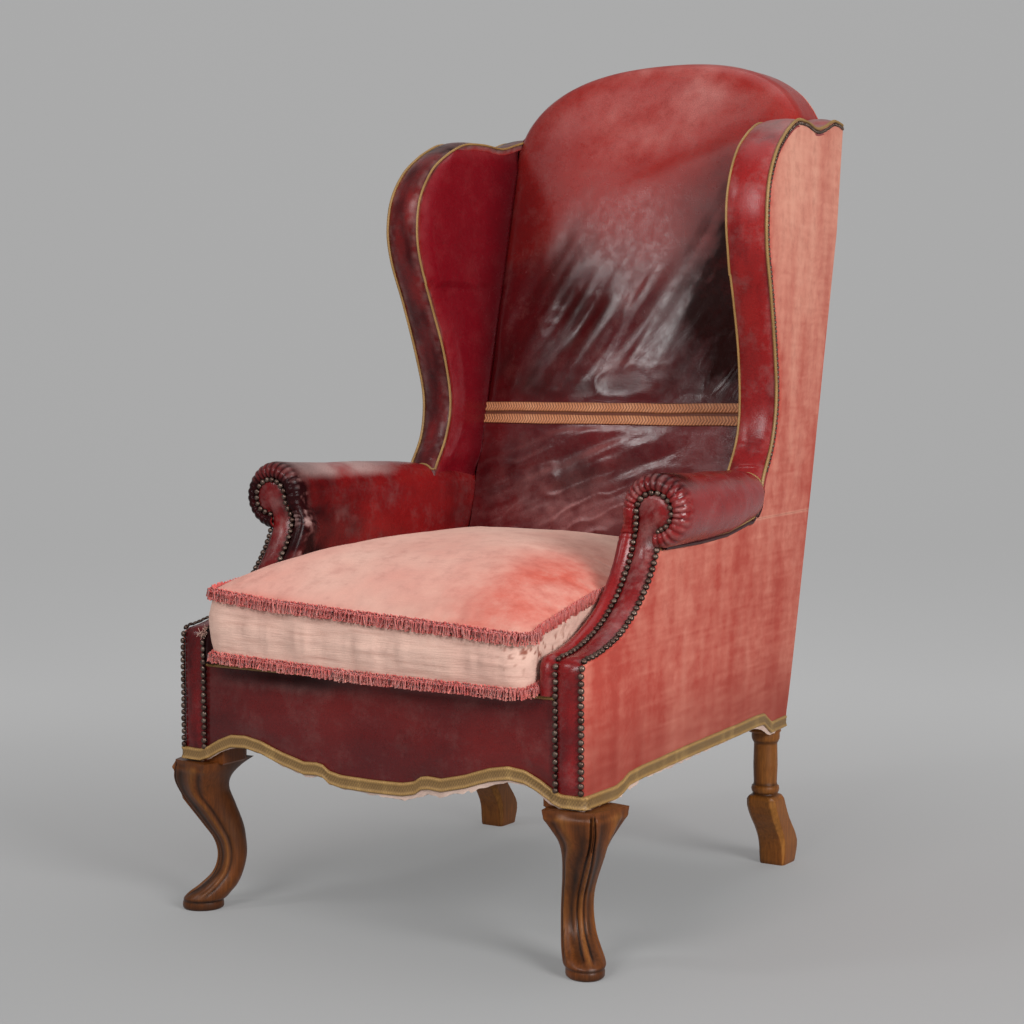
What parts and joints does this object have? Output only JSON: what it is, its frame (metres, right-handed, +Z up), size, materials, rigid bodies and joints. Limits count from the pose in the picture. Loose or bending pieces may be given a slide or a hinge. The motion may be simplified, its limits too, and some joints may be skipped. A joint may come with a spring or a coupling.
{
  "type": "wing armchair",
  "caption": "High-backed wing armchair with rolled arms, cabriole front legs, worn leather inside, faded velvet outside and a loose fringed box cushion.",
  "frame": {"origin": "on the floor, midway across the overall width and midway between the front of the cushion fringe and the back of the crest", "axes": "+Z up, the chair faces -Y, and +X is to the right of someone who stands in front of it and looks at it"},
  "size_m": [0.7376, 0.92, 1.258],
  "materials": {
    "walnut": "waxed, worn at the edges",
    "beech": "sawn and planed",
    "spring_steel": "coppered wire gone dull",
    "jute": "plain woven",
    "horsehair": "teased and stitched",
    "black_linen": "plain woven",
    "red_leather": "glazed, creased and rubbed",
    "dark_leather": "glazed, darkened by wear",
    "velvet": "cotton velvet, faded",
    "cushion_velvet": "cotton velvet, worn bare and sun bleached",
    "gilt_braid": "woven metal thread, tarnished",
    "coral_fringe": "cut brush fringe",
    "antique_brass": "domed nail heads, darkened"
  },
  "bodies": {
    "root": {"front_leg_right": "walnut", "front_leg_left": "walnut", "rear_leg_right": "walnut", "rear_leg_left": "walnut", "side_seat_rail_right": "beech", "side_seat_rail_left": "beech", "front_corner_block_right": "beech", "front_corner_block_left": "beech", "rear_corner_block_right": "beech", "rear_corner_block_left": "beech", "arm_post_right": "beech", "arm_post_left": "beech", "arm_rail_right": "beech", "arm_rail_left": "beech", "wing_frame_right": "beech", "wing_frame_left": "beech", "arm_facing_right": "red_leather", "arm_facing_left": "red_leather", "arm_pad_right": "red_leather", "arm_pad_left": "red_leather", "wing_pad_right": "red_leather", "wing_pad_left": "red_leather", "wing_border_right": "red_leather", "wing_border_left": "red_leather", "outside_arm_cover_right": "velvet", "outside_arm_cover_left": "velvet", "outside_wing_cover_right": "velvet", "outside_wing_cover_left": "velvet", "front_seat_rail": "beech", "back_seat_rail": "beech", "crest_rail": "beech", "lower_back_rail": "beech", "seat_webbing": "jute", "back_webbing": "jute", "spring_canvas": "jute", "seat_deck": "jute", "dust_cover": "black_linen", "back_leather_upper": "red_leather", "back_leather_lower": "dark_leather", "back_stuffing": "horsehair", "back_braid": "gilt_braid", "base_braid": "gilt_braid", "front_rail_leather": "dark_leather", "outside_back_cover": "velvet", "seat_cushion": "cushion_velvet", "cushion_fringe_top": "coral_fringe", "cushion_fringe_bottom": "coral_fringe", "seat_spring_1": "spring_steel", "seat_spring_2": "spring_steel", "seat_spring_3": "spring_steel", "seat_spring_4": "spring_steel", "seat_spring_5": "spring_steel", "seat_spring_6": "spring_steel", "seat_spring_7": "spring_steel", "seat_spring_8": "spring_steel", "seat_spring_9": "spring_steel"}
  },
  "joints": []
}
